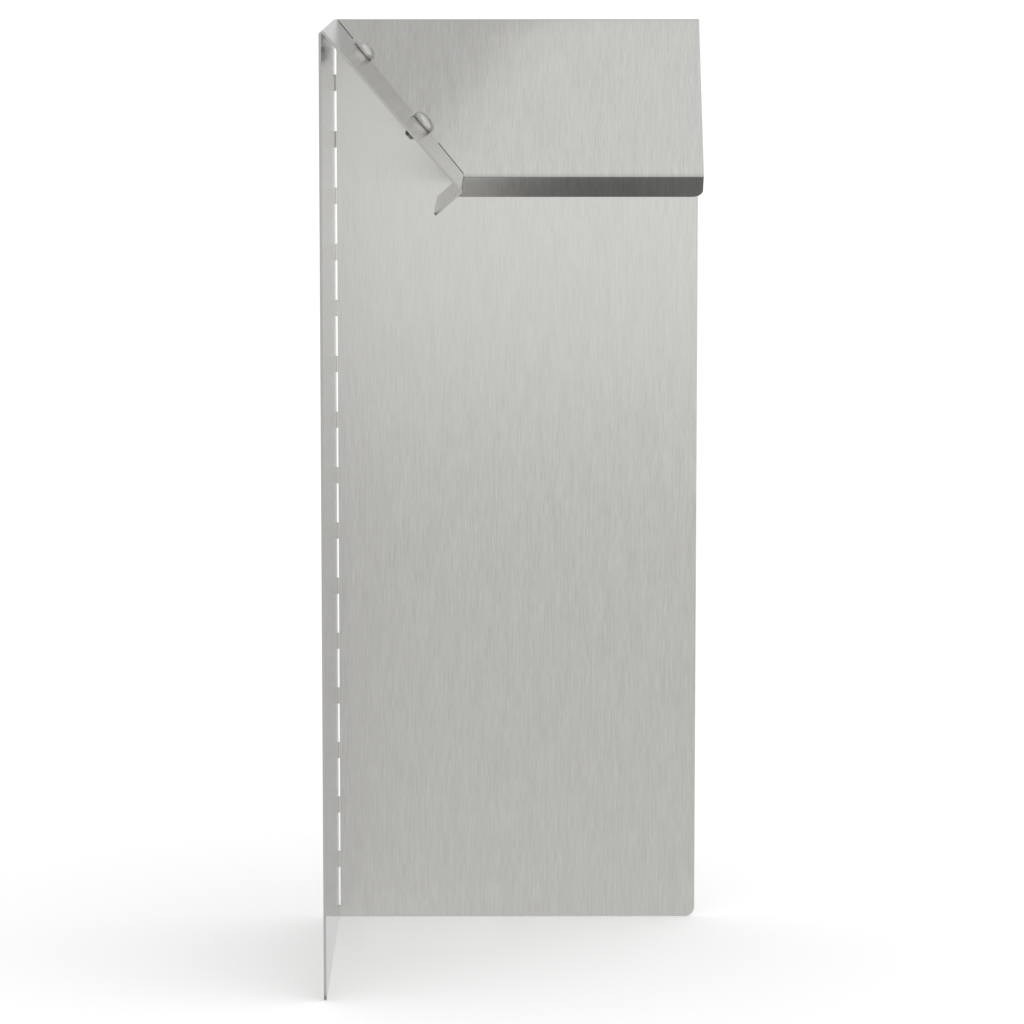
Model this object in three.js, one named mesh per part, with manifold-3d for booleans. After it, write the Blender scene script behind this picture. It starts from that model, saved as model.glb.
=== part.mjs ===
// Inner corner of a stainless steel slug fence.
//
// One laser-cut blank is folded by hand along a row of slots into two equal legs. The top of each leg is folded
// over into a sloping hood with a turned-in lip. The two hoods meet in a mitred valley, where a tab of the right
// hood lies under the left hood and is held by two pan-head screws with hexagon nuts.
//
// Units are millimetres, +Z is up. The legs are drawn from their outer vertical edge: the right leg runs along +X,
// the left leg along -Y, and the hoods lean into the space between them.

import * as THREE from "three";
import { mergeVertices } from "three/addons/utils/BufferGeometryUtils.js";
import Module from "manifold-3d";

// Sheet and legs
const SHEET = 0.8;
const LEG = 120; // length of each leg along its outer face
const HEIGHT = 300;
const FOLD_RADIUS = 0.3; // inside radius of every fold
const CORNER_ROUND = 3.3; // free corners of the blank

// Hood and lip
const HOOD_ANGLE = THREE.MathUtils.degToRad(49); // below the horizontal
const HOOD_REACH = 43.7; // outer face of the leg to the sharp lip edge
const LIP_LENGTH = 11.3; // along its outer face
const LIP_ANGLE = THREE.MathUtils.degToRad(41); // below the horizontal, back towards the leg
const LIP_END_SLANT = 2.2; // how far the lip's free edge reaches past its fold at the valley

// Slots along the vertical fold
const SLOT_LENGTH = 13.2;
const SLOT_BRIDGE = 5.3; // smallest bridge left between two slots
const SLOT_INSET = 0.45; // inner face of a leg to the slot's edge on the other leg
const SLOT_BELOW = 3.8; // plain sheet under the lowest slot
const SLOT_ABOVE = 4.9; // plain sheet over the highest slot

// Mitre joint
const VALLEY_GAP = 0.6; // left hood's cut edge to the valley line
const RIGHT_EDGE_GAP = 0.15; // right hood's cut edge to the valley line
const TAB_CLEARANCE = 0.1; // left hood's underside to the tab
const TAB_WIDTH = 12.5; // from the valley line, under the left hood
const TAB_ABOVE_SCREW = 10; // tab's upper end to the upper screw's axis, along the valley
const TAB_BELOW_SCREW = 6; // lower screw's axis to the tab's lower end
const TAB_CHAMFER = 4;

// Fasteners: M4 x 6 pan head screw and M4 hexagon nut
const THREAD_RADIUS = 1.95;
const SCREW_LENGTH = 6;
const SCREW_HOLE_CLEARANCE = 0.3;
const HEAD_RADIUS = 4;
const HEAD_HEIGHT = 3.1;
const HEAD_RIM = 1.2; // straight part of the head's side
const RECESS_REACH = 2.2; // arm of the cross recess
const RECESS_WIDTH = 0.9;
const RECESS_DEPTH = 1.9;
const NUT_FLATS = 7;
const NUT_HEIGHT = 3.2;
const NUT_BORE_CLEARANCE = 0.3;
const NUT_CHAMFER_ANGLE = THREE.MathUtils.degToRad(30);
const SEAT_GAP = 0.3; // between two faces that rest on each other
const SCREW_INSET = 5.5; // screw axis to the valley line, in the left hood's plane
const FIRST_SCREW = 22.6; // along the valley from the hoods' sharp top corner
const SCREW_SPACING = 35.3;

const ARC_STEPS = 8;
const ROUND_STEPS = 48;
const OVERCUT = 1; // how far a cutter runs past what it cuts

const wasm = await Module();
wasm.setup();

// ---- solids and geometries ----

function solidOf(geometry) {
  const bare = geometry.clone();
  bare.deleteAttribute("normal");
  bare.deleteAttribute("uv");
  const merged = mergeVertices(bare, 1e-5);
  return new wasm.Manifold(
    new wasm.Mesh({
      numProp: 3,
      vertProperties: merged.attributes.position.array,
      triVerts: new Uint32Array(merged.index.array),
    }),
  );
}

function geometryOf(solid) {
  const mesh = solid.getMesh();
  const geometry = new THREE.BufferGeometry();
  geometry.setAttribute("position", new THREE.BufferAttribute(mesh.vertProperties, mesh.numProp));
  geometry.setIndex(new THREE.BufferAttribute(mesh.triVerts, 1));
  return geometry;
}

function extrude(points, depth) {
  return new THREE.ExtrudeGeometry(new THREE.Shape(points), { depth, bevelEnabled: false });
}

// A box between two opposite corners.
function boxBetween(low, high) {
  const size = new THREE.Vector3().subVectors(high, low);
  const middle = new THREE.Vector3().addVectors(high, low).multiplyScalar(0.5);
  return new THREE.BoxGeometry(size.x, size.y, size.z).translate(middle.x, middle.y, middle.z);
}

// Moves a geometry from its own axes to a place: first and second are where its X and Y axes point.
function place(geometry, origin, first, second) {
  const third = new THREE.Vector3().crossVectors(first, second);
  const matrix = new THREE.Matrix4().makeBasis(first, second, third).setPosition(origin);
  return geometry.applyMatrix4(matrix);
}

// The same solid on the other leg: mirrored in the vertical plane through the fold that halves the corner.
function onOtherLeg(solid) {
  const geometry = geometryOf(solid);
  const position = geometry.attributes.position;
  for (let i = 0; i < position.count; i++) {
    position.setXYZ(i, -position.getY(i), -position.getX(i), position.getZ(i));
  }
  const index = geometry.index;
  for (let i = 0; i < index.count; i += 3) {
    const second = index.getX(i + 1);
    index.setX(i + 1, index.getX(i + 2));
    index.setX(i + 2, second);
  }
  return solidOf(geometry);
}

// ---- folded sheet outlines ----

// Rounds every inner corner of an open path with the given radius.
function filleted(path, radius) {
  const points = [path[0].clone()];
  for (let i = 1; i < path.length - 1; i++) {
    const into = path[i].clone().sub(path[i - 1]).normalize();
    const out = path[i + 1].clone().sub(path[i]).normalize();
    const turn = Math.atan2(into.cross(out), into.dot(out));
    const side = Math.sign(turn);
    const reach = radius * Math.tan(Math.abs(turn) / 2);
    const start = path[i].clone().addScaledVector(into, -reach);
    const centre = start.clone().add(new THREE.Vector2(-into.y, into.x).multiplyScalar(radius * side));
    for (let k = 0; k <= ARC_STEPS; k++) {
      points.push(start.clone().rotateAround(centre, (turn * k) / ARC_STEPS));
    }
  }
  points.push(path.at(-1).clone());
  return points;
}

// The path moved sideways by a distance: to the left of its direction where it is positive.
function offsetPath(path, distance) {
  return path.map((point, i) => {
    const before = i > 0 ? point.clone().sub(path[i - 1]).normalize() : null;
    const after = i < path.length - 1 ? path[i + 1].clone().sub(point).normalize() : null;
    const a = before ?? after;
    const b = after ?? before;
    const normal = new THREE.Vector2(-a.y - b.y, a.x + b.x).normalize();
    const stretch = 1 / normal.dot(new THREE.Vector2(-a.y, a.x));
    return point.clone().addScaledVector(normal, distance * stretch);
  });
}

// Cross-section of the folded sheet. face is its face on the outside of the folds, which all turn to the right.
function foldedOutline(face) {
  const outside = filleted(face, FOLD_RADIUS + SHEET);
  const inside = filleted(offsetPath(face, -SHEET), FOLD_RADIUS);
  return [...outside, ...inside.reverse()];
}

// ---- shared places ----

const topFoldTurn = Math.PI / 2 + HOOD_ANGLE;
const topFoldReach = (FOLD_RADIUS + SHEET) * Math.tan(topFoldTurn / 2);
const APEX_Z = HEIGHT + topFoldReach - (FOLD_RADIUS + SHEET); // where the leg's and hood's outer faces would meet
const LEG_TOP_Z = APEX_Z - topFoldReach; // end of the flat leg
const BEND_EDGE = SHEET + FOLD_RADIUS; // end of the flat leg at the vertical fold
const lipEdge = new THREE.Vector2(HOOD_REACH, APEX_Z - HOOD_REACH * Math.tan(HOOD_ANGLE));
const lipEnd = new THREE.Vector2(
  lipEdge.x - LIP_LENGTH * Math.cos(LIP_ANGLE),
  lipEdge.y - LIP_LENGTH * Math.sin(LIP_ANGLE),
);

// The valley is the line where the hoods' upper faces would meet. Each hood has a direction away from it.
const apex = new THREE.Vector3(0, 0, APEX_Z);
const valley = new THREE.Vector3(1, -1, -Math.tan(HOOD_ANGLE)).normalize();
const leftUp = new THREE.Vector3(Math.sin(HOOD_ANGLE), 0, Math.cos(HOOD_ANGLE));
const rightUp = new THREE.Vector3(0, -Math.sin(HOOD_ANGLE), Math.cos(HOOD_ANGLE));
const intoLeft = new THREE.Vector3().crossVectors(valley, leftUp);
const intoRight = new THREE.Vector3().crossVectors(rightUp, valley);

const screwPoints = [FIRST_SCREW, FIRST_SCREW + SCREW_SPACING].map((along) =>
  apex.clone().addScaledVector(valley, along).addScaledVector(intoLeft, SCREW_INSET),
);

// ---- the folded sheet ----

// Cutter that rounds a sheet's corner. It lies in its XY plane with the sharp corner at the origin.
function cornerRounder() {
  const r = CORNER_ROUND;
  const points = [new THREE.Vector2(-OVERCUT, -OVERCUT), new THREE.Vector2(r, -OVERCUT)];
  for (let k = 0; k <= ARC_STEPS; k++) {
    const angle = -Math.PI / 2 - (Math.PI / 2) * (k / ARC_STEPS);
    points.push(new THREE.Vector2(r + r * Math.cos(angle), r + r * Math.sin(angle)));
  }
  points.push(new THREE.Vector2(-OVERCUT, r));
  const depth = 2 * SHEET + 2 * OVERCUT;
  return extrude(points, depth).translate(0, 0, -depth / 2);
}

// What the mitre takes off the left hood: everything up to a gap past the valley, cut square to the hood's faces.
function hoodEdgeCutter(gap) {
  const reach = HOOD_REACH * 3;
  const block = boxBetween(
    new THREE.Vector3(-reach, -SHEET * 3, -reach),
    new THREE.Vector3(gap, SHEET * 3, reach),
  );
  const cutter = solidOf(place(block, apex, intoLeft, leftUp));
  const above = boxBetween(
    new THREE.Vector3(-reach, -reach, LEG_TOP_Z),
    new THREE.Vector3(reach, reach, APEX_Z + OVERCUT),
  );
  const below = boxBetween(
    new THREE.Vector3(BEND_EDGE, -reach, lipEdge.y - reach),
    new THREE.Vector3(reach, OVERCUT, APEX_Z),
  );
  return cutter.intersect(solidOf(above).add(solidOf(below)));
}

// The left leg with its hood and lip, up to the vertical fold and the valley.
function leftWing() {
  const section = [
    new THREE.Vector2(0, 0),
    new THREE.Vector2(0, APEX_Z),
    lipEdge,
    lipEnd,
  ];
  let wing = solidOf(extrude(foldedOutline(section), LEG).rotateX(Math.PI / 2));
  const foldSide = boxBetween(
    new THREE.Vector3(-OVERCUT, -BEND_EDGE, -OVERCUT),
    new THREE.Vector3(SHEET + OVERCUT, OVERCUT, LEG_TOP_Z),
  );
  wing = wing.subtract(solidOf(foldSide));

  const legEnd = new THREE.Vector3(SHEET / 2, -LEG, 0);
  const inward = new THREE.Vector3(0, 1, 0);
  const upward = new THREE.Vector3(0, 0, 1);
  wing = wing.subtract(solidOf(place(cornerRounder(), legEnd, inward, upward)));

  const lipUp = new THREE.Vector3(Math.cos(LIP_ANGLE), 0, Math.sin(LIP_ANGLE));
  const lipFreeEnd = new THREE.Vector3(lipEnd.x, -LEG, lipEnd.y);
  wing = wing.subtract(solidOf(place(cornerRounder(), lipFreeEnd, inward, lipUp)));

  // The lip and its fold start where the valley reaches the hood's edge, on a slant.
  const pastStart = [
    new THREE.Vector2(-LIP_END_SLANT * (1 + OVERCUT / LIP_LENGTH), -OVERCUT),
    new THREE.Vector2(0, LIP_LENGTH),
    new THREE.Vector2(-HOOD_REACH - OVERCUT, LIP_LENGTH),
    new THREE.Vector2(-HOOD_REACH - OVERCUT, -OVERCUT),
  ];
  const cutter = extrude(pastStart, OVERCUT + BEND_EDGE).translate(0, 0, -OVERCUT);
  const lipStart = new THREE.Vector3(lipEnd.x, -HOOD_REACH, lipEnd.y);
  return wing.subtract(solidOf(place(cutter, lipStart, inward.clone().negate(), lipUp)));
}

function verticalFold() {
  const arm = BEND_EDGE + OVERCUT;
  const plan = [new THREE.Vector2(0, -arm), new THREE.Vector2(0, 0), new THREE.Vector2(arm, 0)];
  return solidOf(extrude(foldedOutline(plan), LEG_TOP_Z));
}

// As many evenly spaced slots as fit between the plain ends, and the bridges between them no narrower than stated.
function slots() {
  const run = HEIGHT - SLOT_BELOW - SLOT_ABOVE;
  const count = Math.max(1, Math.floor((run + SLOT_BRIDGE) / (SLOT_LENGTH + SLOT_BRIDGE)));
  const pitch = count > 1 ? (run - SLOT_LENGTH) / (count - 1) : 0;
  const edge = SHEET + SLOT_INSET;
  const cutters = [];
  for (let i = 0; i < count; i++) {
    const low = SLOT_BELOW + i * pitch;
    const slot = boxBetween(
      new THREE.Vector3(-OVERCUT, -edge, low),
      new THREE.Vector3(edge, OVERCUT, low + SLOT_LENGTH),
    );
    cutters.push(solidOf(slot));
  }
  return cutters;
}

// The right hood's tab, folded along the valley to lie under the left hood.
function mitreTab() {
  const inSection = (v) => new THREE.Vector2(v.dot(intoRight), v.dot(rightUp));
  const along = inSection(intoLeft);
  const depth = inSection(leftUp).multiplyScalar(-(2 * SHEET + TAB_CLEARANCE));
  // Where the undersides of the right hood and the tab meet.
  const step = (-SHEET - depth.y) / along.y;
  const fold = depth.clone().addScaledVector(along, step);
  const root = new THREE.Vector2(RIGHT_EDGE_GAP + 2 * SHEET, -SHEET);
  const end = depth.clone().addScaledVector(along, TAB_WIDTH);
  const outline = foldedOutline([root, fold, end]);
  const from = FIRST_SCREW - TAB_ABOVE_SCREW;
  const length = TAB_ABOVE_SCREW + SCREW_SPACING + TAB_BELOW_SCREW;
  const start = apex.clone().addScaledVector(valley, from);
  let tab = solidOf(place(extrude(outline, length), start, intoRight, rightUp));

  // Chamfers at the tab's two free corners.
  for (const [distance, side] of [[from, 1], [from + length, -1]]) {
    const corner = apex.clone().addScaledVector(valley, distance).addScaledVector(intoLeft, TAB_WIDTH);
    const shape = [
      new THREE.Vector2(-OVERCUT, -OVERCUT),
      new THREE.Vector2(TAB_CHAMFER + OVERCUT, -OVERCUT),
      new THREE.Vector2(-OVERCUT, TAB_CHAMFER + OVERCUT),
    ];
    const depthOfCut = 6 * SHEET + 2 * OVERCUT;
    const cutter = extrude(shape, depthOfCut).translate(0, 0, -depthOfCut / 2);
    const inward = intoLeft.clone().negate();
    const sideways = valley.clone().multiplyScalar(side);
    tab = tab.subtract(solidOf(place(cutter, corner, inward, sideways)));
  }
  return tab;
}

function screwHoles() {
  const radius = THREAD_RADIUS + SCREW_HOLE_CLEARANCE;
  const length = 6 * SHEET + 2 * OVERCUT;
  return screwPoints.map((point) => {
    const hole = new THREE.CylinderGeometry(radius, radius, length, ROUND_STEPS);
    return solidOf(place(hole, point, intoLeft, leftUp));
  });
}

function foldedSheet() {
  const wing = leftWing();
  const left = wing.subtract(hoodEdgeCutter(VALLEY_GAP));
  const right = onOtherLeg(wing.subtract(hoodEdgeCutter(RIGHT_EDGE_GAP)));
  let sheet = left.add(right).add(verticalFold()).add(mitreTab());
  for (const cutter of [...slots(), ...screwHoles()]) sheet = sheet.subtract(cutter);
  return geometryOf(sheet);
}

// ---- fasteners, drawn along +Y with the head's seat at the origin ----

function panHeadScrew() {
  const profile = [new THREE.Vector2(0, -SCREW_LENGTH)];
  const tip = THREAD_RADIUS * 0.2;
  profile.push(new THREE.Vector2(THREAD_RADIUS - tip, -SCREW_LENGTH));
  profile.push(new THREE.Vector2(THREAD_RADIUS, -SCREW_LENGTH + tip));
  profile.push(new THREE.Vector2(THREAD_RADIUS, 0));
  profile.push(new THREE.Vector2(HEAD_RADIUS, 0));
  const crown = HEAD_HEIGHT - HEAD_RIM;
  for (let k = 0; k < ARC_STEPS; k++) {
    const angle = (Math.PI / 2) * (k / ARC_STEPS);
    profile.push(new THREE.Vector2(HEAD_RADIUS * Math.cos(angle), HEAD_RIM + crown * Math.sin(angle)));
  }
  profile.push(new THREE.Vector2(0, HEAD_HEIGHT));
  let screw = solidOf(new THREE.LatheGeometry(profile, ROUND_STEPS));
  const top = HEAD_HEIGHT + OVERCUT;
  const bottom = HEAD_HEIGHT - RECESS_DEPTH;
  for (const [x, z] of [[RECESS_REACH, RECESS_WIDTH / 2], [RECESS_WIDTH / 2, RECESS_REACH]]) {
    const arm = boxBetween(new THREE.Vector3(-x, bottom, -z), new THREE.Vector3(x, top, z));
    screw = screw.subtract(solidOf(arm));
  }
  return geometryOf(screw);
}

function hexagonNut() {
  const acrossCorners = NUT_FLATS / Math.cos(Math.PI / 6);
  const prism = new THREE.CylinderGeometry(acrossCorners / 2, acrossCorners / 2, NUT_HEIGHT, 6);
  let nut = solidOf(prism.translate(0, -NUT_HEIGHT / 2, 0));
  const flat = NUT_FLATS / 2;
  const outer = acrossCorners / 2 + OVERCUT;
  const drop = (outer - flat) * Math.tan(NUT_CHAMFER_ANGLE);
  const barrel = [
    new THREE.Vector2(0, -NUT_HEIGHT),
    new THREE.Vector2(flat, -NUT_HEIGHT),
    new THREE.Vector2(outer, -NUT_HEIGHT + drop),
    new THREE.Vector2(outer, -drop),
    new THREE.Vector2(flat, 0),
    new THREE.Vector2(0, 0),
  ];
  nut = nut.intersect(solidOf(new THREE.LatheGeometry(barrel, ROUND_STEPS)));
  const bore = THREAD_RADIUS + NUT_BORE_CLEARANCE;
  const hole = new THREE.CylinderGeometry(bore, bore, NUT_HEIGHT + 2 * OVERCUT, ROUND_STEPS);
  nut = nut.subtract(solidOf(hole.translate(0, -NUT_HEIGHT / 2, 0)));
  return geometryOf(nut);
}

// ---- assembly ----

const brushedSteel = new THREE.MeshStandardMaterial({ color: 0xc4c3be, roughness: 0.35, metalness: 1 });
const screwSteel = new THREE.MeshStandardMaterial({ color: 0xb8b6b0, roughness: 0.2, metalness: 1 });
const nutSteel = new THREE.MeshStandardMaterial({ color: 0xa9a8a3, roughness: 0.3, metalness: 1 });

function named(name, geometry, material) {
  const mesh = new THREE.Mesh(geometry, material);
  mesh.name = name;
  return mesh;
}

// Puts a fastener on a screw axis, lowered by a distance under the left hood's upper face.
function onScrewAxis(mesh, point, lowered) {
  const third = new THREE.Vector3().crossVectors(intoLeft, leftUp);
  const turn = new THREE.Matrix4().makeBasis(intoLeft, leftUp, third);
  mesh.quaternion.setFromRotationMatrix(turn);
  mesh.position.copy(point).addScaledVector(leftUp, -lowered);
  return mesh;
}

const corner = new THREE.Group();
corner.position.set(-LEG / 2, LEG / 2, 0);
corner.add(named("folded_sheet", foldedSheet(), brushedSteel));

const nutSeat = 2 * SHEET + TAB_CLEARANCE + SEAT_GAP;
["upper", "lower"].forEach((where, i) => {
  const screw = named(`${where}_screw`, panHeadScrew(), screwSteel);
  corner.add(onScrewAxis(screw, screwPoints[i], -SEAT_GAP));
  const nut = named(`${where}_nut`, hexagonNut(), nutSteel);
  corner.add(onScrewAxis(nut, screwPoints[i], nutSeat));
});

export default corner;
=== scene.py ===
"""Looks of a folded stainless steel slug fence corner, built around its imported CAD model.

Lengths are in millimetres until a mesh is made. t is the distance from a leg's outer face, u the distance
along the leg from the outer vertical edge, z the height.
"""

import math

import bmesh
import bpy
import numpy as np
from mathutils import Matrix, Vector


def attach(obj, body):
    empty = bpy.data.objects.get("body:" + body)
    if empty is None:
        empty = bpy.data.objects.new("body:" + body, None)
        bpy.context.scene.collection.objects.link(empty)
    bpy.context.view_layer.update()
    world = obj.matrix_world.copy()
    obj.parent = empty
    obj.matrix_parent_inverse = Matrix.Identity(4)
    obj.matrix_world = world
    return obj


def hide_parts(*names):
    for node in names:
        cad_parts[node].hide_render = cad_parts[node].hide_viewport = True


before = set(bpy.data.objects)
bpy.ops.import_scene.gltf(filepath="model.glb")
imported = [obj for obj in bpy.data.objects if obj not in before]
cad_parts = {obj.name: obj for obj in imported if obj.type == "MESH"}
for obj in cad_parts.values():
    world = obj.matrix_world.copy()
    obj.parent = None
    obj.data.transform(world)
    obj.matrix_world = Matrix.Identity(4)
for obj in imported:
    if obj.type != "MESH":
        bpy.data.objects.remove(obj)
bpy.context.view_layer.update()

# ---- sizes ----

SHEET = 0.8
LEG = 120.0
HEIGHT = 300.0
FOLD_RADIUS = 0.3
CORNER_ROUND = 3.3
HOOD_ANGLE = math.radians(49)
HOOD_REACH = 43.7
LIP_LENGTH = 11.3
LIP_ANGLE = math.radians(41)
LIP_END_SLANT = 2.2
SLOT_LENGTH = 13.2
SLOT_BRIDGE = 5.3
SLOT_INSET = 0.45
SLOT_BELOW = 3.8
SLOT_ABOVE = 4.9
VALLEY_GAP = 0.6
RIGHT_EDGE_GAP = 0.15
TAB_CLEARANCE = 0.1
TAB_WIDTH = 12.5
TAB_ABOVE_SCREW = 10.0
TAB_BELOW_SCREW = 6.0
TAB_CHAMFER = 4.0
SCREW_INSET = 5.5
FIRST_SCREW = 22.6
SCREW_SPACING = 35.3
EDGE_SOFTNESS = 0.07
SCREW_SOFTNESS = 0.08

HEAD_RADIUS = 4.0
HEAD_HEIGHT = 3.1
HEAD_RIM = 0.95  # straight part of the head's side
HEAD_SINK = 0.02  # how far the middle of the head's seat lies in the hood
RECESS_REACH = 2.15
RECESS_WIDTH = 0.95
RECESS_FLOOR = 1.15
RECESS_TOP = 3.4
RECESS_TAPER = 0.62
SCREW_LENGTH = 6.0
THREAD_RADIUS = 1.95
THREAD_PITCH = 0.7
THREAD_DEPTH = 0.42
THREAD_EXTRA = 0.02  # the drawn thread's crest over the CAD shank
SCREW_HOLE_CLEARANCE = 0.3
HOLE_OVERCUT = 1.0
NUT_FLATS = 7.0
NUT_HEIGHT = 3.2
NUT_TOP = -(2 * SHEET + TAB_CLEARANCE)
NUT_MOUTH_RADIUS = 2.25
NUT_MOUTH_DEPTH = 0.25
NUT_THREAD_CLEARANCE = 0.38
NUT_THREAD_DEPTH = 0.36
NUT_FACE_SHARE = 0.985  # radius of the flat end over half the width across flats
NUT_CHAMFER_ANGLE = math.radians(28)
SCREW_TURNS = (23, 61)
NUT_TURNS = (11, 38)

TOP_STEPS = 20
LIP_STEPS = 14
FOLD_STEPS = 10
BACK_GRAIN_OFFSET = 400  # sets the back face's grain apart from the front's
SAME_POINT = 1e-7  # metres

OUTER = FOLD_RADIUS + SHEET
TOP_TURN = math.pi / 2 + HOOD_ANGLE
TOP_REACH = OUTER * math.tan(TOP_TURN / 2)
APEX_Z = HEIGHT + TOP_REACH - OUTER
LEG_TOP = APEX_Z - TOP_REACH
LIP_TURN = math.pi - HOOD_ANGLE - LIP_ANGLE
LIP_REACH = OUTER * math.tan(LIP_TURN / 2)
HOOD_DIR = np.array([math.cos(HOOD_ANGLE), -math.sin(HOOD_ANGLE)])
LIP_DIR = np.array([-math.cos(LIP_ANGLE), -math.sin(LIP_ANGLE)])
SHARP_TOP = np.array([0.0, APEX_Z])
SHARP_LIP = np.array([HOOD_REACH, APEX_Z - HOOD_REACH * math.tan(HOOD_ANGLE)])

# The valley and, in each hood, the direction away from it.
valley = np.array([1.0, -1.0, -math.tan(HOOD_ANGLE)])
valley /= np.linalg.norm(valley)
left_up = np.array([math.sin(HOOD_ANGLE), 0, math.cos(HOOD_ANGLE)])
right_up = np.array([0, -math.sin(HOOD_ANGLE), math.cos(HOOD_ANGLE)])
into_left = np.cross(valley, left_up)
into_left *= -np.sign(into_left[1])
into_right = np.cross(right_up, valley)
into_right *= np.sign(into_right[0])
apex = np.array([0, 0, APEX_Z])


def row_frame(point):
    """A point from the outer vertical edge, in mm, as a point of the row frame, in metres."""
    return ((point[0] - LEG / 2) / 1000, (point[1] + LEG / 2) / 1000, point[2] / 1000)


# ---- materials ----

def node(tree, kind, **values):
    made = tree.nodes.new(kind)
    for key, value in values.items():
        setattr(made, key, value)
    return made


def material(name):
    made = bpy.data.materials.new(name)
    made.use_nodes = True
    return made, made.node_tree, made.node_tree.nodes["Principled BSDF"]


def streaks(tree, across, along, detail=3.0):
    """Noise drawn out along the sheet's grain. across and along are cycles per metre."""
    flat = node(tree, "ShaderNodeUVMap", uv_map="flat")
    scaled = node(tree, "ShaderNodeVectorMath", operation="MULTIPLY")
    scaled.inputs[1].default_value = (across, along, 1)
    noise = node(tree, "ShaderNodeTexNoise", noise_dimensions="2D")
    noise.inputs["Scale"].default_value = 1
    noise.inputs["Detail"].default_value = detail
    noise.inputs["Roughness"].default_value = 0.6
    tree.links.new(flat.outputs["UV"], scaled.inputs[0])
    tree.links.new(scaled.outputs[0], noise.inputs["Vector"])
    return noise.outputs["Fac"]


def spread(tree, value, low, high, start=0.3, end=0.7):
    """value, from start to end, mapped to low to high."""
    ranged = node(tree, "ShaderNodeMapRange")
    ranged.inputs["From Min"].default_value = start
    ranged.inputs["From Max"].default_value = end
    ranged.inputs["To Min"].default_value = low
    ranged.inputs["To Max"].default_value = high
    tree.links.new(value, ranged.inputs["Value"])
    return ranged.outputs["Result"]


def mixed_colour(tree, factor, first, second):
    mix = node(tree, "ShaderNodeMix", data_type="RGBA")
    mix.inputs["A"].default_value = (*first, 1)
    mix.inputs["B"].default_value = (*second, 1)
    tree.links.new(factor, mix.inputs["Factor"])
    return mix.outputs["Result"]


def sum_of(tree, first, second, weight):
    """first + second * weight"""
    add = node(tree, "ShaderNodeMath", operation="MULTIPLY_ADD")
    add.inputs[1].default_value = weight
    tree.links.new(second, add.inputs[0])
    tree.links.new(first, add.inputs[2])
    return add.outputs[0]


def product(tree, first, second):
    multiply = node(tree, "ShaderNodeMath", operation="MULTIPLY")
    tree.links.new(first, multiply.inputs[0])
    tree.links.new(second, multiply.inputs[1])
    return multiply.outputs[0]


def brushed_steel():
    made, tree, shader = material("brushed_sheet")
    fine = streaks(tree, 3000, 170)
    medium = streaks(tree, 1300, 70)
    broad = streaks(tree, 240, 45, detail=2.0)
    grain = sum_of(tree, fine, medium, 0.7)
    colour = mixed_colour(
        tree,
        spread(tree, sum_of(tree, grain, broad, 0.4), 0, 1, 0.75, 1.35),
        (0.471, 0.467, 0.448),
        (0.541, 0.537, 0.517),
    )
    tree.links.new(colour, shader.inputs["Base Color"])
    rough = sum_of(tree, spread(tree, grain, 0.13, 0.19, 0.5, 1.2), broad, 0.03)
    # Seen along its face the sheet mirrors more sharply.
    facing = node(tree, "ShaderNodeLayerWeight")
    sharper = spread(tree, facing.outputs["Facing"], 1.0, 0.35, 0.7, 0.92)
    tree.links.new(product(tree, rough, sharper), shader.inputs["Roughness"])
    shader.inputs["Metallic"].default_value = 1
    shader.inputs["Anisotropic"].default_value = 0.8
    tangent = node(tree, "ShaderNodeTangent", direction_type="UV_MAP", uv_map="flat")
    tree.links.new(tangent.outputs[0], shader.inputs["Tangent"])
    bump = node(tree, "ShaderNodeBump")
    bump.inputs["Strength"].default_value = 0.10
    bump.inputs["Distance"].default_value = 0.00004
    tree.links.new(grain, bump.inputs["Height"])
    tree.links.new(bump.outputs[0], shader.inputs["Normal"])
    return made


def point_noise(tree, scale, detail=3.0):
    place = node(tree, "ShaderNodeTexCoord")
    noise = node(tree, "ShaderNodeTexNoise")
    noise.inputs["Scale"].default_value = scale
    noise.inputs["Detail"].default_value = detail
    tree.links.new(place.outputs["Object"], noise.inputs["Vector"])
    return noise.outputs["Fac"]


def cut_edge():
    """The cut edges of the sheet: matt, with a fine frosted ripple."""
    made, tree, shader = material("cut_edge")
    frost = point_noise(tree, 2600)
    colour = mixed_colour(tree, spread(tree, frost, 0, 1), (0.42, 0.417, 0.40), (0.50, 0.496, 0.48))
    tree.links.new(colour, shader.inputs["Base Color"])
    tree.links.new(spread(tree, frost, 0.38, 0.5), shader.inputs["Roughness"])
    shader.inputs["Metallic"].default_value = 1
    bump = node(tree, "ShaderNodeBump")
    bump.inputs["Strength"].default_value = 0.3
    bump.inputs["Distance"].default_value = 0.00003
    tree.links.new(frost, bump.inputs["Height"])
    tree.links.new(bump.outputs[0], shader.inputs["Normal"])
    return made


def plain_steel(name, dark, light, rough_low, rough_high):
    """Steel of the fasteners, with no grain."""
    made, tree, shader = material(name)
    cloud = point_noise(tree, 900)
    speck = point_noise(tree, 5200, detail=1.0)
    colour = mixed_colour(tree, spread(tree, cloud, 0, 1), dark, light)
    tree.links.new(colour, shader.inputs["Base Color"])
    tree.links.new(spread(tree, cloud, rough_low, rough_high), shader.inputs["Roughness"])
    shader.inputs["Metallic"].default_value = 1
    bump = node(tree, "ShaderNodeBump")
    bump.inputs["Strength"].default_value = 0.15
    bump.inputs["Distance"].default_value = 0.00002
    tree.links.new(speck, bump.inputs["Height"])
    tree.links.new(bump.outputs[0], shader.inputs["Normal"])
    return made


# ---- mesh making ----

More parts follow.
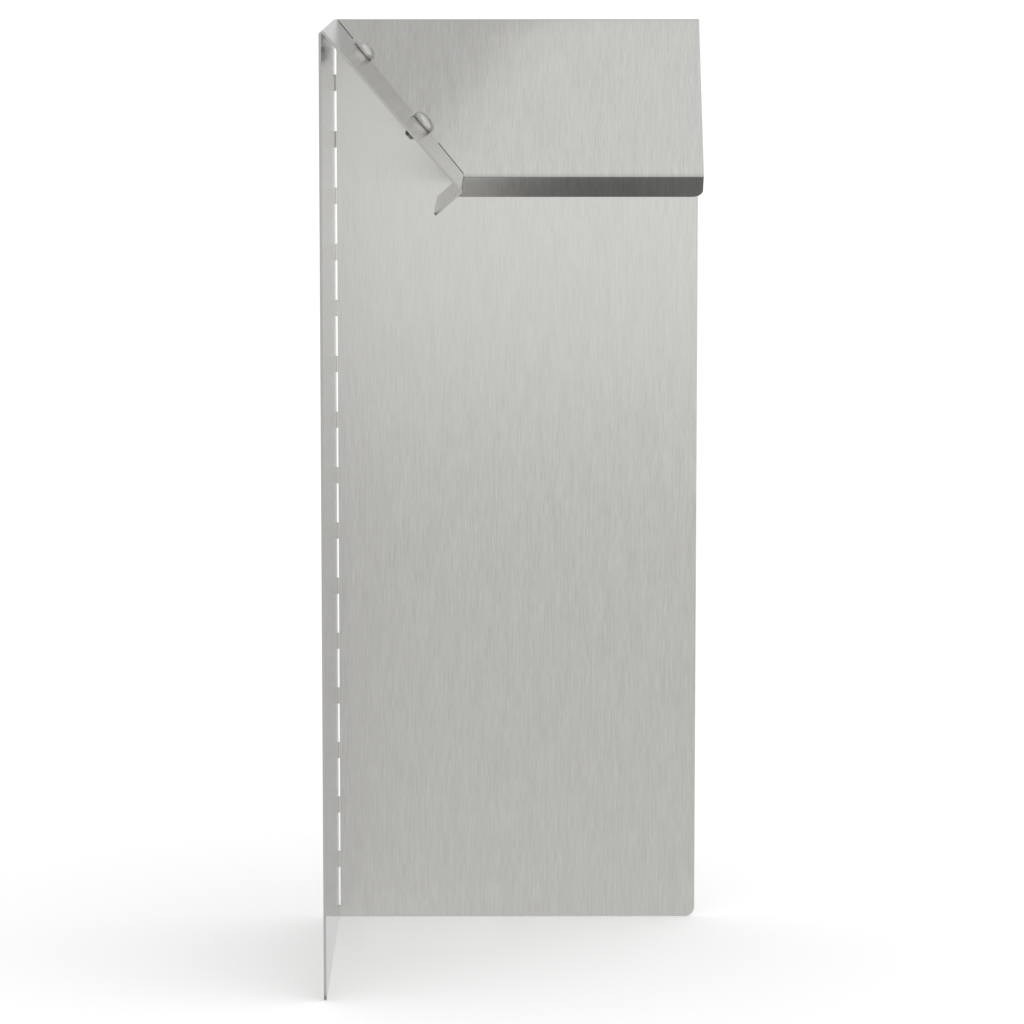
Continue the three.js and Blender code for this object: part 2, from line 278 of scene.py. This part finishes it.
def mesh_object(name, points, faces, materials, face_material, flat_coords):
    mesh = bpy.data.meshes.new(name)
    mesh.from_pydata([row_frame(p) for p in points], [], faces)
    for m in materials:
        mesh.materials.append(m)
    mesh.polygons.foreach_set("material_index", face_material)
    layer = mesh.uv_layers.new(name="flat")
    index = np.empty(len(mesh.loops), np.int32)
    mesh.loops.foreach_get("vertex_index", index)
    layer.data.foreach_set("uv", np.asarray(flat_coords, np.float32)[index].ravel() / 1000)
    mesh.validate()
    mesh.shade_smooth()
    made = bpy.data.objects.new(name, mesh)
    bpy.context.scene.collection.objects.link(made)
    return made


def outward(made):
    """Turns every face of a closed mesh to point out."""
    work = bmesh.new()
    work.from_mesh(made.data)
    bmesh.ops.recalc_face_normals(work, faces=work.faces)
    work.to_mesh(made.data)
    work.free()


def soften(made, width, angle=35):
    """Rounds the sharp edges a little, and keeps the flat faces flat."""
    bevel = made.modifiers.new("soft_edges", "BEVEL")
    bevel.width = width / 1000
    bevel.segments = 2
    bevel.limit_method = "ANGLE"
    bevel.angle_limit = math.radians(angle)
    bevel.harden_normals = True
    bevel.use_clamp_overlap = True


class Sheet:
    """Sheet metal: pairs of points on its two faces, patches between them, and walls where a patch ends."""

    def __init__(self):
        self.front = []
        self.back = []
        self.flat = []
        self.quads = []

    def pair(self, front, back, flat):
        self.front.append(front)
        self.back.append(back)
        self.flat.append(flat)
        return len(self.front) - 1

    def patch(self, rows):
        """rows of pair numbers. A None leaves a hole."""
        for above, below in zip(rows[1:], rows[:-1]):
            for k in range(len(above) - 1):
                corners = (below[k], below[k + 1], above[k + 1], above[k])
                if None not in corners:
                    self.quads.append(corners)

    def mesh(self):
        count = len(self.front)
        faces = list(self.quads)
        faces += [tuple(i + count for i in reversed(q)) for q in self.quads]
        kinds = [0] * len(faces)
        edges = dict.fromkeys(edge for q in self.quads for edge in zip(q, (*q[1:], q[0])))
        for a, b in edges:
            if (b, a) not in edges:
                faces.append((b, a, a + count, b + count))
                kinds.append(1)
        flat = np.array(self.flat)
        return self.front + self.back, faces, kinds, np.vstack([flat, flat + [BACK_GRAIN_OFFSET, 0]])


def fillet(sharp, before, turn, steps):
    """Points on both faces round a fold that turns clockwise. before is the direction into it."""
    reach = OUTER * math.tan(turn / 2)
    inward = np.array([before[1], -before[0]])
    centre = sharp - before * reach + inward * OUTER
    made = []
    for k in range(steps + 1):
        a = turn * k / steps
        arm = -inward * math.cos(a) + before * math.sin(a)
        made.append((centre + arm * OUTER, centre + arm * FOLD_RADIUS))
    return made


def slot_spans():
    run = HEIGHT - SLOT_BELOW - SLOT_ABOVE
    count = math.floor((run + SLOT_BRIDGE) / (SLOT_LENGTH + SLOT_BRIDGE))
    pitch = (run - SLOT_LENGTH) / (count - 1)
    return [(SLOT_BELOW + i * pitch, SLOT_BELOW + i * pitch + SLOT_LENGTH) for i in range(count)]


def rounded(distance):
    """How far a corner of the blank is cut back at a distance from its end edge."""
    if distance >= CORNER_ROUND:
        return 0.0
    return CORNER_ROUND - math.sqrt(CORNER_ROUND**2 - (CORNER_ROUND - distance) ** 2)


round_steps = [CORNER_ROUND * (1 - math.cos(math.pi / 2 * k / 10)) for k in range(11)]
slot_edge = SHEET + SLOT_INSET
middle_turn = (FOLD_RADIUS + OUTER) / 2
columns = np.linspace(0, 1, 13)
tab_from = FIRST_SCREW - TAB_ABOVE_SCREW
tab_to = FIRST_SCREW + SCREW_SPACING + TAB_BELOW_SCREW
tab_rows = [tab_from, tab_from + TAB_CHAMFER, FIRST_SCREW]
tab_rows += [FIRST_SCREW + SCREW_SPACING, tab_to - TAB_CHAMFER, tab_to]


def mitre_start(t, z, gap):
    """Where the hood's cut edge lies, as a distance along the leg."""
    return (gap - into_left[0] * t - into_left[2] * (z - APEX_Z)) / -into_left[1]


def lip_start(distance):
    """Where the lip starts along the leg, at a distance from its sharp edge."""
    return HOOD_REACH - LIP_END_SLANT * distance / LIP_LENGTH


def left_place(t, u, z):
    return np.array([t, -u, z])


def right_place(t, u, z):
    return np.array([u, -t, z])


def wing(sheet, place, gap, flip):
    """One leg with its hood and lip. Returns the leg's rows by height, and the pairs the tab grows from."""
    sign = -1 if flip else 1

    def row(front, back, v, starts, ends, first_columns=()):
        made = []
        spots = [(u, u) for u in first_columns]
        spots += [tuple(start + (ends - start) * w for start in starts) for w in columns]
        for uf, ub in spots:
            points = place(front[0], uf, front[1]), place(back[0], ub, back[1])
            made.append(sheet.pair(*points, (sign * uf, v)))
        return made

    heights = set(round_steps) | {LEG_TOP, HEIGHT / 2} | {z for span in slot_spans() for z in span}
    fold_starts = (mitre_start(0, LEG_TOP, gap), mitre_start(SHEET, LEG_TOP, gap))
    leg_rows = {}
    for z in sorted(heights):
        leg_rows[z] = row((0, z), (SHEET, z), z, fold_starts, LEG - rounded(z), (slot_edge,))
    rows = [leg_rows[z] for z in sorted(heights)]
    hood_rows = [leg_rows[LEG_TOP][1:]]

    v = LEG_TOP
    top = fillet(SHARP_TOP, np.array([0.0, 1.0]), TOP_TURN, TOP_STEPS)
    for k, (front, back) in enumerate(top[1:], 1):
        starts = (mitre_start(*front, gap), mitre_start(*back, gap))
        hood_rows.append(row(front, back, v + middle_turn * TOP_TURN * k / TOP_STEPS, starts, LEG))
    v += middle_turn * TOP_TURN

    # The flat hood, with rows where the tab starts, turns and ends.
    slope_start, slope_end = top[-1][0], SHARP_LIP - HOOD_DIR * LIP_REACH
    length = np.linalg.norm(slope_end - slope_start)
    by_tab = {}
    for d in tab_rows:
        t = valley[0] * d - into_right[1] * gap
        by_tab[(t - slope_start[0]) / HOOD_DIR[0]] = d
    hood_normal = np.array([HOOD_DIR[1], -HOOD_DIR[0]])
    tab_roots = {}
    for s in sorted({length, *by_tab}):
        front = slope_start + HOOD_DIR * s
        back = front + hood_normal * SHEET
        starts = (mitre_start(*front, gap), mitre_start(*back, gap))
        made = row(front, back, v + s, starts, LEG)
        hood_rows.append(made)
        if s in by_tab:
            tab_roots[by_tab[s]] = made[0]
    v += length

    lip = fillet(SHARP_LIP, HOOD_DIR, LIP_TURN, LIP_STEPS)
    begin = np.array([mitre_start(*lip[0][0], gap), mitre_start(*lip[0][1], gap)])
    for k, (front, back) in enumerate(lip[1:], 1):
        starts = begin + (lip_start(LIP_REACH) - begin) * k / LIP_STEPS
        hood_rows.append(row(front, back, v + middle_turn * LIP_TURN * k / LIP_STEPS, starts, LEG))
    v += middle_turn * LIP_TURN
    straight = LIP_LENGTH - LIP_REACH
    lip_normal = np.array([LIP_DIR[1], -LIP_DIR[0]])
    for left_over in sorted(round_steps, reverse=True):
        s = straight - left_over
        front = lip[-1][0] + LIP_DIR * s
        start = lip_start(LIP_REACH + s)
        end = LEG - rounded(left_over)
        hood_rows.append(row(front, front + lip_normal * SHEET, v + s, (start, start), end))

    for group in (rows, hood_rows):
        sheet.patch([list(reversed(r)) for r in group] if flip else group)
    return leg_rows, tab_roots


def folded_sheet(materials):
    sheet = Sheet()
    # Front points lie on the outer faces, so the left leg runs the other way round.
    left_rows, _ = wing(sheet, left_place, VALLEY_GAP, True)
    right_rows, tab_roots = wing(sheet, right_place, RIGHT_EDGE_GAP, False)

    # Bridges round the vertical fold.
    spans = slot_spans()
    bridges = list(zip([0.0] + [high for _, high in spans], [low for low, _ in spans] + [LEG_TOP]))
    for low, high in bridges:
        rows = []
        for z in sorted(h for h in left_rows if low <= h <= high):
            made = [left_rows[z][0]]
            for k in range(FOLD_STEPS + 1):
                a = math.pi / 2 * k / FOLD_STEPS
                arm = np.array([-math.cos(a), math.sin(a), 0])
                centre = np.array([OUTER, -OUTER, z])
                flat = (-OUTER + (2 * OUTER) * k / FOLD_STEPS, z)
                made.append(sheet.pair(centre + arm * OUTER, centre + arm * FOLD_RADIUS, flat))
            made.append(right_rows[z][0])
            rows.append(made)
        sheet.patch(rows)

    # The tab runs on from the right hood, past the valley and under the left hood.
    def across(v):
        return np.array([v @ into_right, v @ right_up])

    along = across(into_left)
    turn = math.atan2(along[1], -along[0])
    depth = -across(left_up) * (2 * SHEET + TAB_CLEARANCE)
    sharp = depth + along * (-SHEET - depth[1]) / along[1]
    reach = OUTER * math.tan(turn / 2)
    centre = np.array([sharp[0] + reach, OUTER - SHEET])
    section = []
    for k in range(FOLD_STEPS + 1):
        a = turn * k / FOLD_STEPS
        arm = np.array([-math.sin(a), -math.cos(a)])
        section.append((centre + arm * FOLD_RADIUS, centre + arm * OUTER))
    flat_u, flat_v = into_right[0], -into_right[1] * HOOD_DIR[0] + into_right[2] * HOOD_DIR[1]
    rows = []
    for d in tab_rows:
        trimmed = max(0.0, TAB_CHAMFER - (d - tab_from), TAB_CHAMFER - (tab_to - d))
        far = depth + along * (TAB_WIDTH - trimmed)
        far_pair = (far + across(left_up) * SHEET, far)
        made = [tab_roots[d]]
        root_flat = np.array(sheet.flat[tab_roots[d]])
        run = 0.0
        before = np.array([RIGHT_EDGE_GAP, -SHEET / 2])
        for front, back in [*section, far_pair]:
            here = (front + back) / 2
            run += np.linalg.norm(here - before)
            before = here
            points = [apex + valley * d + into_right * q[0] + right_up * q[1] for q in (front, back)]
            flat = root_flat - np.array([flat_u, flat_v]) * run
            made.append(sheet.pair(points[0], points[1], tuple(flat)))
        rows.append(list(reversed(made)))
    sheet.patch(rows)

    points, faces, kinds, flat = sheet.mesh()
    made = mesh_object("brushed_sheet", points, faces, materials, kinds, flat)
    outward(made)
    for axis in screw_axes():
        cut(made, screw_hole(axis))
    soften(made, EDGE_SOFTNESS)
    return made


# ---- fasteners, drawn round +Z with the head's seat at the origin ----

def turned(profile, steps=64):
    """A closed body turned from (radius, height) points that start and end on the axis."""
    points = [(0, 0, profile[0][1])]
    faces = []
    rings = profile[1:-1]
    for r, z in rings:
        for k in range(steps):
            a = 2 * math.pi * k / steps
            points.append((r * math.cos(a), r * math.sin(a), z))
    points.append((0, 0, profile[-1][1]))
    for k in range(steps):
        n = (k + 1) % steps
        faces.append((0, 1 + n, 1 + k))
        for i in range(len(rings) - 1):
            a, b = 1 + i * steps, 1 + (i + 1) * steps
            faces.append((a + k, a + n, b + n, b + k))
        last = 1 + (len(rings) - 1) * steps
        faces.append((last + k, last + n, len(points) - 1))
    return points, faces


def cross_cutter(reach, width, bottom, top, taper):
    """A plus-shaped prism that narrows downwards."""
    def outline(scale, z):
        r, w = reach * scale, width / 2 * (0.5 + scale / 2)
        flat = [(r, -w), (r, w), (w, w), (w, r), (-w, r), (-w, w)]
        flat += [(-r, w), (-r, -w), (-w, -w), (-w, -r), (w, -r), (w, -w)]
        return [(x, y, z) for x, y in flat]
    points = outline(taper, bottom) + outline(1.0, top)
    faces = [tuple(reversed(range(12))), tuple(range(12, 24))]
    faces += [(k, (k + 1) % 12, (k + 1) % 12 + 12, k + 12) for k in range(12)]
    return points, faces


def local_object(name, points, faces):
    mesh = bpy.data.meshes.new(name)
    mesh.from_pydata([tuple(c / 1000 for c in p) for p in points], [], faces)
    made = bpy.data.objects.new(name, mesh)
    bpy.context.scene.collection.objects.link(made)
    outward(made)
    return made


def cut(body, cutter):
    """Cuts one closed mesh from another, keeps the result as plain mesh and merges points on one spot."""
    modifier = body.modifiers.new("cut", "BOOLEAN")
    modifier.operation = "DIFFERENCE"
    modifier.solver = "EXACT"
    modifier.object = cutter
    graph = bpy.context.evaluated_depsgraph_get()
    done = bpy.data.meshes.new_from_object(body.evaluated_get(graph))
    body.modifiers.clear()
    body.data = done
    bpy.data.objects.remove(cutter)
    work = bmesh.new()
    work.from_mesh(body.data)
    bmesh.ops.remove_doubles(work, verts=work.verts, dist=SAME_POINT)
    work.to_mesh(body.data)
    work.free()


def thread(radius, depth, pitch, top, bottom, steps=48):
    """A closed shank with a helical thread between two heights."""
    levels = int(round((top - bottom) / pitch * 10))
    points = [(0, 0, top)]
    rings = [top - (top - bottom) * i / levels for i in range(levels + 1)]
    for z in rings:
        fade = min(1.0, (z - bottom) / pitch)
        for k in range(steps):
            phase = (z / pitch + k / steps) % 1.0
            crest = 1 - abs(2 * phase - 1)
            r = radius - depth * (1 - crest * 0.5 - 0.5 * fade * crest) - 0.35 * (1 - fade)
            a = 2 * math.pi * k / steps
            points.append((r * math.cos(a), -r * math.sin(a), z))
    points.append((0, 0, bottom))
    faces = []
    for k in range(steps):
        n = (k + 1) % steps
        faces.append((0, 1 + k, 1 + n))
        for i in range(levels):
            a, b = 1 + i * steps, 1 + (i + 1) * steps
            faces.append((a + k, b + k, b + n, a + n))
        last = 1 + levels * steps
        faces.append((last + k, len(points) - 1, last + n))
    return points, faces


def screw_axes():
    """Where the upper and the lower screw go through the left hood's upper face."""
    return [apex + valley * (FIRST_SCREW + SCREW_SPACING * i) + into_left * SCREW_INSET for i in range(2)]


def screw_hole(axis):
    """A cutter for the round hole through the left hood and the tab under it."""
    radius = THREAD_RADIUS + SCREW_HOLE_CLEARANCE
    top, bottom = HOLE_OVERCUT, NUT_TOP - HOLE_OVERCUT
    made = local_object("screw_hole", *turned([(0, bottom), (radius, bottom), (radius, top), (0, top)]))
    on_axis(made, axis, 0.0)
    return made


def pan_head_screw(name):
    profile = [(0, -HEAD_SINK), (1.9, -HEAD_SINK), (3.75, 0.0), (3.93, 0.12)]
    profile += [(HEAD_RADIUS, 0.4), (HEAD_RADIUS, HEAD_RIM)]
    for k in range(1, 15):
        a = math.pi / 2 * k / 15
        dome = (HEAD_HEIGHT - HEAD_RIM) * math.sin(a) ** 0.95
        profile.append((HEAD_RADIUS * math.cos(a) ** 0.86, HEAD_RIM + dome))
    profile.append((0, HEAD_HEIGHT))
    head = local_object(name, *turned(profile))
    recess = cross_cutter(RECESS_REACH, RECESS_WIDTH, RECESS_FLOOR, RECESS_TOP, RECESS_TAPER)
    cut(head, local_object("cutter", *recess))
    spiral = thread(THREAD_RADIUS + THREAD_EXTRA, THREAD_DEPTH, THREAD_PITCH, -HEAD_SINK, -SCREW_LENGTH)
    shank = local_object("shank", *spiral)
    work = bmesh.new()
    work.from_mesh(head.data)
    work.from_mesh(shank.data)
    work.to_mesh(head.data)
    work.free()
    bpy.data.objects.remove(shank)
    return head


def hexagon_nut(name, steps=96):
    """A hexagon nut with both ends chamfered and a threaded bore."""
    flat = NUT_FLATS / 2
    face = flat * NUT_FACE_SHARE
    slope = math.tan(NUT_CHAMFER_ANGLE)
    rings = []
    levels = 40
    root = THREAD_RADIUS + NUT_THREAD_CLEARANCE
    for k in range(steps):
        a = 2 * math.pi * (k + 0.5) / steps
        sector = (a + math.pi / 6) % (math.pi / 3) - math.pi / 6
        r = flat / math.cos(sector)
        drop = max(0.0, (r - face) * slope)
        ring = [(NUT_MOUTH_RADIUS, 0.0), (face, 0.0), (r, -drop), (r, -NUT_HEIGHT + drop)]
        ring += [(face, -NUT_HEIGHT), (NUT_MOUTH_RADIUS, -NUT_HEIGHT)]
        for i in range(levels + 1):
            z = -NUT_HEIGHT + NUT_MOUTH_DEPTH + (NUT_HEIGHT - 2 * NUT_MOUTH_DEPTH) * i / levels
            phase = (z / THREAD_PITCH + k / steps) % 1.0
            ring.append((root - NUT_THREAD_DEPTH * (1 - abs(2 * phase - 1)) * 0.9, z))
        rings.append([(q * math.cos(a), q * math.sin(a), z) for q, z in ring])
    size = len(rings[0])
    points = [p for ring in rings for p in ring]
    faces = []
    for k in range(steps):
        n = (k + 1) % steps
        for i in range(size):
            j = (i + 1) % size
            faces.append((k * size + i, n * size + i, n * size + j, k * size + j))
    return local_object(name, points, faces)


def on_axis(made, point, lowered, turn=0.0):
    """Puts a fastener on a screw axis, lowered from the left hood's upper face."""
    x = Vector(into_left)
    z = Vector(left_up)
    y = z.cross(x)
    axes = Matrix((x, y, z)).transposed().to_4x4()
    place = Vector(row_frame(point - left_up * lowered))
    made.data.transform(Matrix.Translation(place) @ axes @ Matrix.Rotation(turn, 4, "Z"))
    made.data.update()


def finish_piece(made, look):
    made.data.materials.clear()
    made.data.materials.append(look)
    made.data.shade_smooth()
    made.data.set_sharp_from_angle(angle=math.radians(32))


# ---- the object ----

sheet = folded_sheet([brushed_steel(), cut_edge()])
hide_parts("folded_sheet")
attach(sheet, "root")

screw_steel = plain_steel("screw_steel", (0.46, 0.455, 0.44), (0.54, 0.535, 0.515), 0.2, 0.3)
nut_steel = plain_steel("nut_steel", (0.42, 0.417, 0.405), (0.50, 0.496, 0.48), 0.26, 0.38)
for i, (where, axis) in enumerate(zip(("upper", "lower"), screw_axes())):
    screw = pan_head_screw(f"{where}_pan_head_screw")
    on_axis(screw, axis, 0.0, math.radians(SCREW_TURNS[i]))
    finish_piece(screw, screw_steel)
    soften(screw, SCREW_SOFTNESS, angle=40)
    nut = hexagon_nut(f"{where}_hexagon_nut")
    on_axis(nut, axis, -NUT_TOP, math.radians(NUT_TURNS[i]))
    finish_piece(nut, nut_steel)
    for piece, cad_name, slot in ((screw, f"{where}_screw", "screws"), (nut, f"{where}_nut", "nuts")):
        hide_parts(cad_name)
        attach(piece, "root")

# ---- stage, light and camera ----

floor_mesh = bpy.data.meshes.new("floor")
floor_mesh.from_pydata([(-30, -30, 0), (30, -30, 0), (30, 30, 0), (-30, 30, 0)], [], [(0, 1, 2, 3)])
floor = bpy.data.objects.new("floor", floor_mesh)
bpy.context.scene.collection.objects.link(floor)
floor_material, floor_tree, floor_shader = material("pale_floor")
floor_shader.inputs["Base Color"].default_value = (0.93, 0.93, 0.93, 1)
floor_shader.inputs["Roughness"].default_value = 0.9
floor_shader.inputs["Specular IOR Level"].default_value = 0.2
floor_shader.inputs["Emission Color"].default_value = (1, 1, 1, 1)
floor_shader.inputs["Emission Strength"].default_value = 0.22
floor_mesh.materials.append(floor_material)

# The metal's reflections see this studio in place of the floor: brightest near the horizon, darkest straight
# below, dimmer behind, and a little brighter on the right than on the left.
floor.visible_glossy = False
world = bpy.data.worlds.new("studio")
world.use_nodes = True
world_tree = world.node_tree
split = node(world_tree, "ShaderNodeSeparateXYZ")
world_tree.links.new(node(world_tree, "ShaderNodeTexCoord").outputs["Generated"], split.inputs[0])

STUDIO_PEAK = 2.0
STUDIO_LEVELS = (  # height of the direction, light from there
    (-1.0, 0.24), (-0.97, 0.28), (-0.9, 0.80), (-0.25, 0.97), (-0.15, 0.91), (-0.13, 0.92),
    (-0.112, 1.08), (-0.1, 1.2), (-0.05, 1.33), (-0.02, 1.2), (0.02, 0.95), (0.5, 0.97), (0.8, 1.1),
)
ramp = node(world_tree, "ShaderNodeValToRGB")
world_tree.links.new(spread(world_tree, split.outputs["Z"], 0, 1, -1, 1), ramp.inputs["Fac"])
stops = ramp.color_ramp.elements
for k, (height, level) in enumerate(STUDIO_LEVELS):
    stop = stops[k] if k < 2 else stops.new((height + 1) / 2)
    stop.position = (height + 1) / 2
    stop.color = (*[level / STUDIO_PEAK] * 3, 1)

sideways = spread(world_tree, split.outputs["X"], 0.88, 1.12, -0.21, 0.21)
backwards = spread(world_tree, split.outputs["Y"], 1.0, 0.72, -0.15, 0.35)
light = product(world_tree, product(world_tree, ramp.outputs["Color"], sideways), backwards)
background = world_tree.nodes["Background"]
world_tree.links.new(light, background.inputs["Color"])
background.inputs["Strength"].default_value = STUDIO_PEAK
bpy.context.scene.world = world


def glossy_card(name, corners, level):
    """A panel of even light that only the metal's reflections show."""
    mesh = bpy.data.meshes.new(name)
    mesh.from_pydata(corners, [], [(0, 1, 2, 3)])
    made = bpy.data.objects.new(name, mesh)
    bpy.context.scene.collection.objects.link(made)
    card_material, _, shader = material(name)
    shader.inputs["Base Color"].default_value = (0, 0, 0, 1)
    shader.inputs["Specular IOR Level"].default_value = 0
    shader.inputs["Emission Color"].default_value = (1, 1, 1, 1)
    shader.inputs["Emission Strength"].default_value = level
    mesh.materials.append(card_material)
    made.visible_camera = False
    made.visible_diffuse = False
    made.visible_shadow = False
    made.visible_transmission = False


# A grey card over the corner dims the upper left of the right hood. Its front edge runs down to the left.
CARD_HEIGHT = 0.42
CARD_HALF_WIDTH = 0.25
CARD_DEPTH = 0.3
GREY_LEVEL = 0.8
card_edge = Vector((-0.0047, 0.025, CARD_HEIGHT))
edge_way = Vector((-0.028, -0.041, 0)).normalized()
back_way = Vector((edge_way.y, -edge_way.x, 0))
near, far = card_edge + edge_way * CARD_HALF_WIDTH, card_edge - edge_way * CARD_HALF_WIDTH
grey_corners = [near, far, far + back_way * CARD_DEPTH, near + back_way * CARD_DEPTH]
glossy_card("grey_card", grey_corners, GREY_LEVEL)

# A pale card on the ground under the left half of the corner lights the end of the lip above it. The panel's
# foot mirrors the card too, so its level matches the studio beside it. A dimmer card shows as a dark patch.
PALE_HEIGHT = 0.0005
PALE_LEVEL = 0.945
low_corners = [(-0.05, 0.015), (-0.006, 0.015), (-0.006, 0.058), (-0.05, 0.058)]
glossy_card("pale_card", [(x, y, PALE_HEIGHT) for x, y in low_corners], PALE_LEVEL)

# The photo's lens was shifted and level. This camera looks down, so that other views keep the object.
CAMERA_PITCH = 7.857
CAMERA_YAW = -0.190
camera_data = bpy.data.cameras.new("camera")
camera_data.lens = 162.44
camera_data.sensor_width = 36
camera = bpy.data.objects.new("camera", camera_data)
camera.location = (-0.00624, -1.4607, 0.3469)
camera.rotation_euler = (math.radians(90 - CAMERA_PITCH), 0, math.radians(CAMERA_YAW))
bpy.context.scene.collection.objects.link(camera)
bpy.context.scene.camera = camera
bpy.context.scene.view_settings.view_transform = "Standard"
